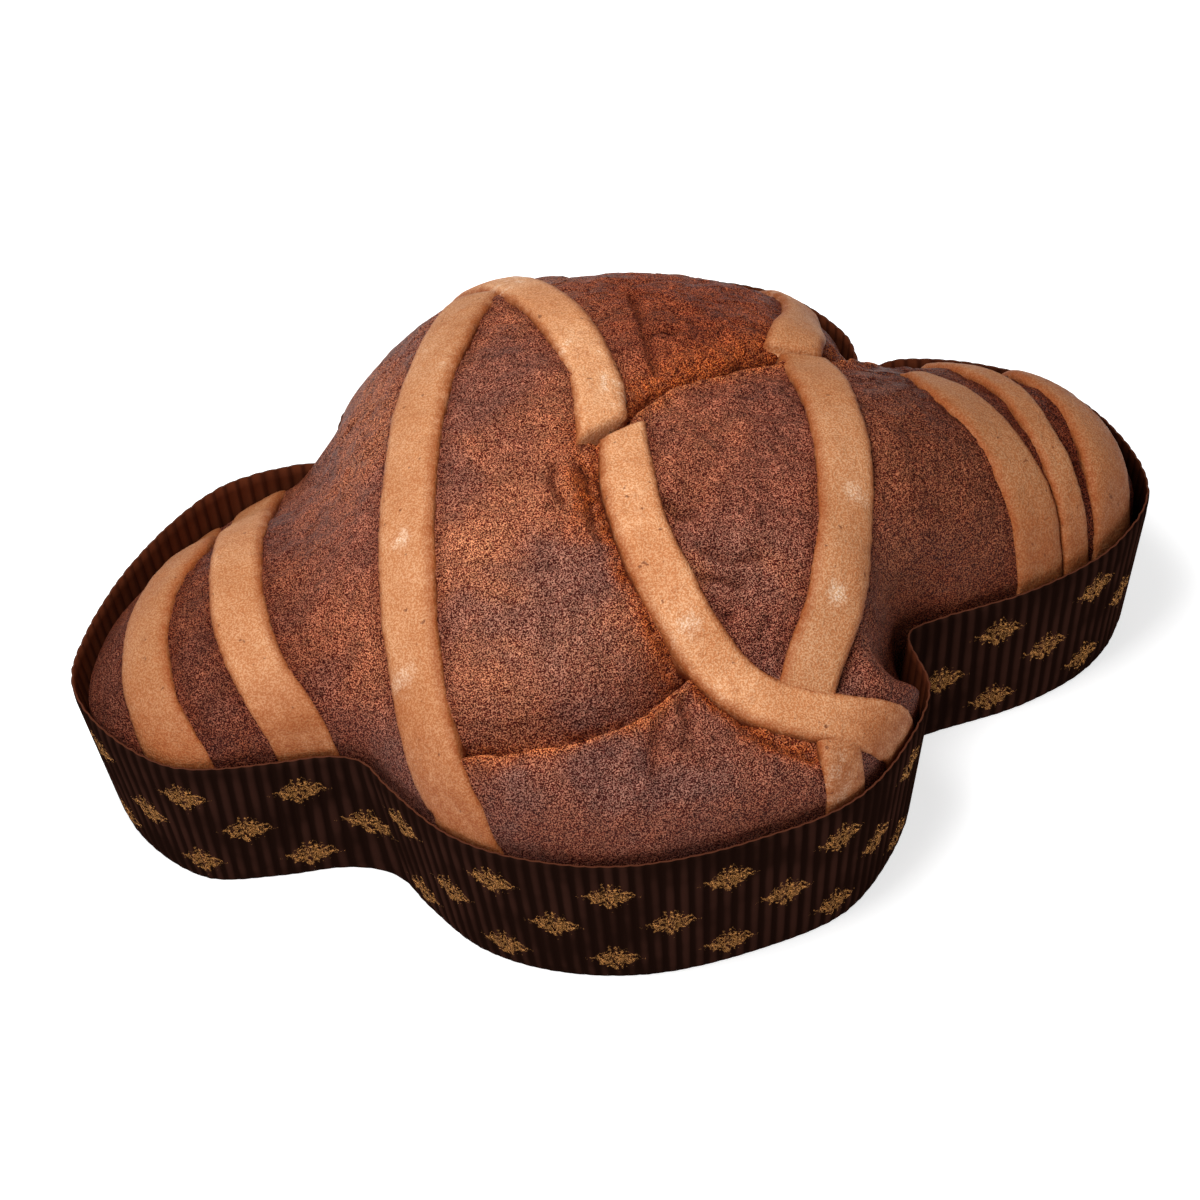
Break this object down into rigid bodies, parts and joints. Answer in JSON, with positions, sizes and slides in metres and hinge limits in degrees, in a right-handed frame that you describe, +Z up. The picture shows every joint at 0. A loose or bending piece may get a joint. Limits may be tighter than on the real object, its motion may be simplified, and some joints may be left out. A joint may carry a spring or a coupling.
{
  "type": "colomba cake",
  "caption": "Uncut colomba cake: a low four-lobed sweet loaf with folded brown crust and pale dough strips, baked in a flared fluted paper case.",
  "frame": {"origin": "middle of the footprint, on the floor under the paper case", "axes": "+X along the long side towards the right wing, +Y towards the back lobe, +Z up; the front lobe points to -Y"},
  "size_m": [0.3043, 0.2299, 0.105],
  "materials": {
    "paper": "matte",
    "crust": "matte",
    "strip": "matte"
  },
  "bodies": {
    "root": {"paper_case": "paper", "cake": "crust", "strip_mound_left": "strip", "strip_cross_upper": "strip", "strip_cross_lower": "strip", "strip_right": "strip", "strip_right_front": "strip", "strip_back": "strip", "strip_left_wing_outer": "strip", "strip_left_wing_inner": "strip", "strip_right_wing_inner": "strip", "strip_right_wing_middle": "strip", "strip_right_wing_outer": "strip"}
  },
  "joints": []
}
